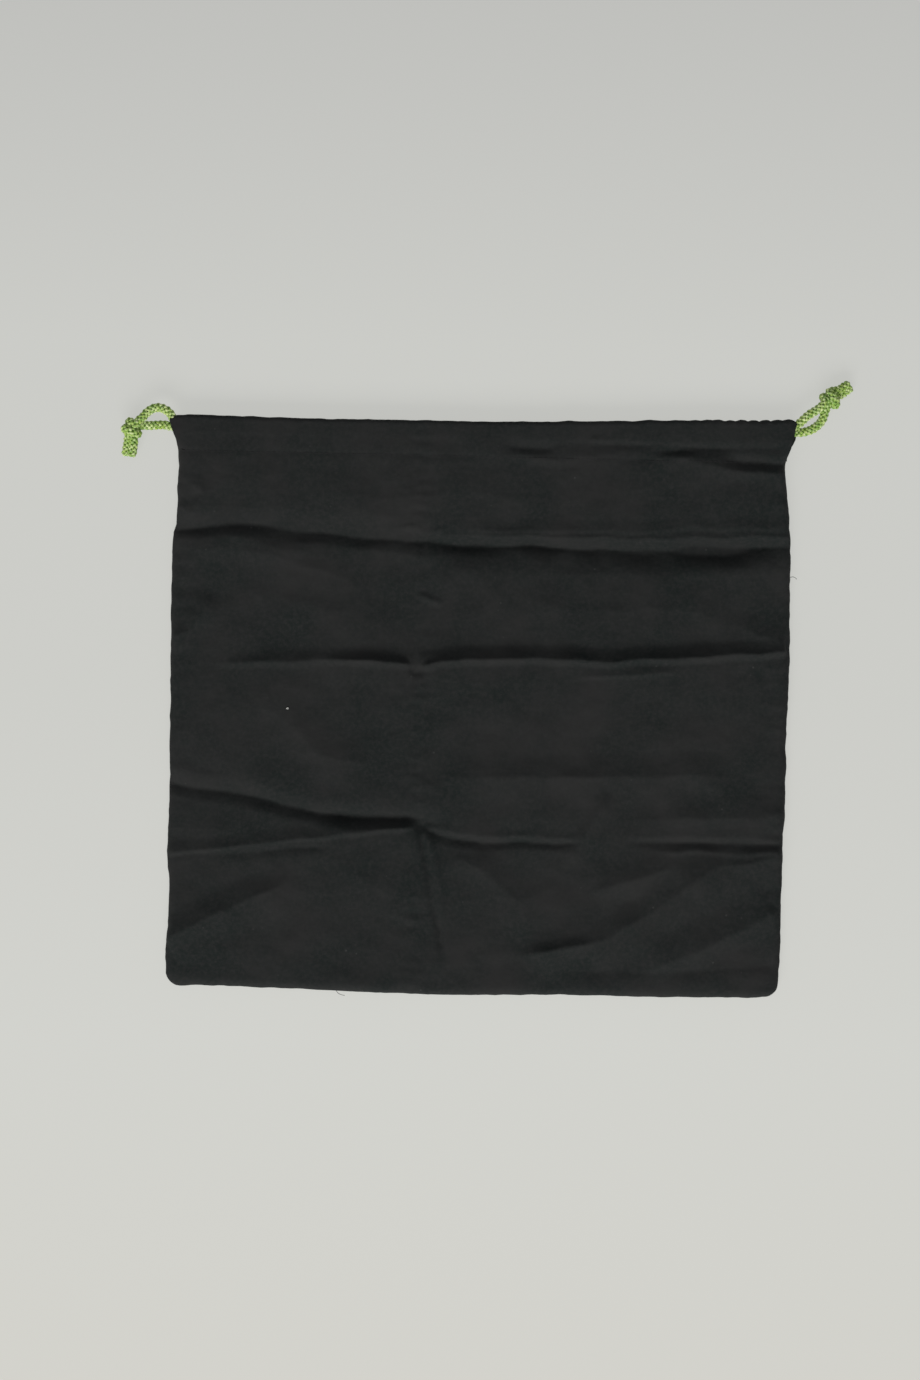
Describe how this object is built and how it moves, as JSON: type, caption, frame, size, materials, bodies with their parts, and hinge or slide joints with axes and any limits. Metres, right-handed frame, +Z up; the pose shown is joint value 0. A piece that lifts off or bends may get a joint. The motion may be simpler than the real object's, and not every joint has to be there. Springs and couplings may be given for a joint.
{
  "type": "drawstring gift sack",
  "caption": "Flat drawstring sack of black cotton with sewn casings at the mouth and a braided cord drawn out of each end and knotted.",
  "frame": {"origin": "middle of the underside of the sack's cloth, with the sack lying flat on its back panel", "axes": "+X across the sack from side seam to side seam, +Y from the bottom seam to the mouth, +Z up out of the front panel"},
  "size_m": [0.4189, 0.3575, 0.0162],
  "materials": {
    "black_cotton": "matt plain-woven cotton",
    "black_thread": "spun sewing thread, slightly brighter than the cloth",
    "green_cord": "soft braided cord, matt"
  },
  "bodies": {
    "sack": {"back_panel": "black_cotton", "front_panel": "black_cotton", "left_side_seam": "black_cotton", "right_side_seam": "black_cotton", "bottom_seam": "black_cotton", "back_casing": "black_cotton", "front_casing": "black_cotton", "back_casing_thread": "black_thread", "front_casing_thread": "black_thread", "left_side_thread": "black_thread", "right_side_thread": "black_thread", "bottom_thread": "black_thread", "left_cord_turn": "green_cord", "right_cord_turn": "green_cord"},
    "left_cord": {"left_cord_front_run": "green_cord", "left_cord_back_run": "green_cord", "left_cord_front_strand": "green_cord", "left_cord_back_strand": "green_cord", "left_cord_knot": "green_cord", "left_cord_front_tail": "green_cord", "left_cord_back_tail": "green_cord"},
    "right_cord": {"right_cord_front_run": "green_cord", "right_cord_back_run": "green_cord", "right_cord_front_strand": "green_cord", "right_cord_back_strand": "green_cord", "right_cord_knot": "green_cord", "right_cord_front_tail": "green_cord", "right_cord_back_tail": "green_cord"}
  },
  "joints": [
    {"name": "left_pull", "type": "slide", "parent": "sack", "child": "left_cord", "axis": [-1, 0, 0], "range_m": [0, 0.26]},
    {"name": "right_pull", "type": "slide", "parent": "sack", "child": "right_cord", "axis": [1, 0, 0], "range_m": [0, 0.26]}
  ]
}
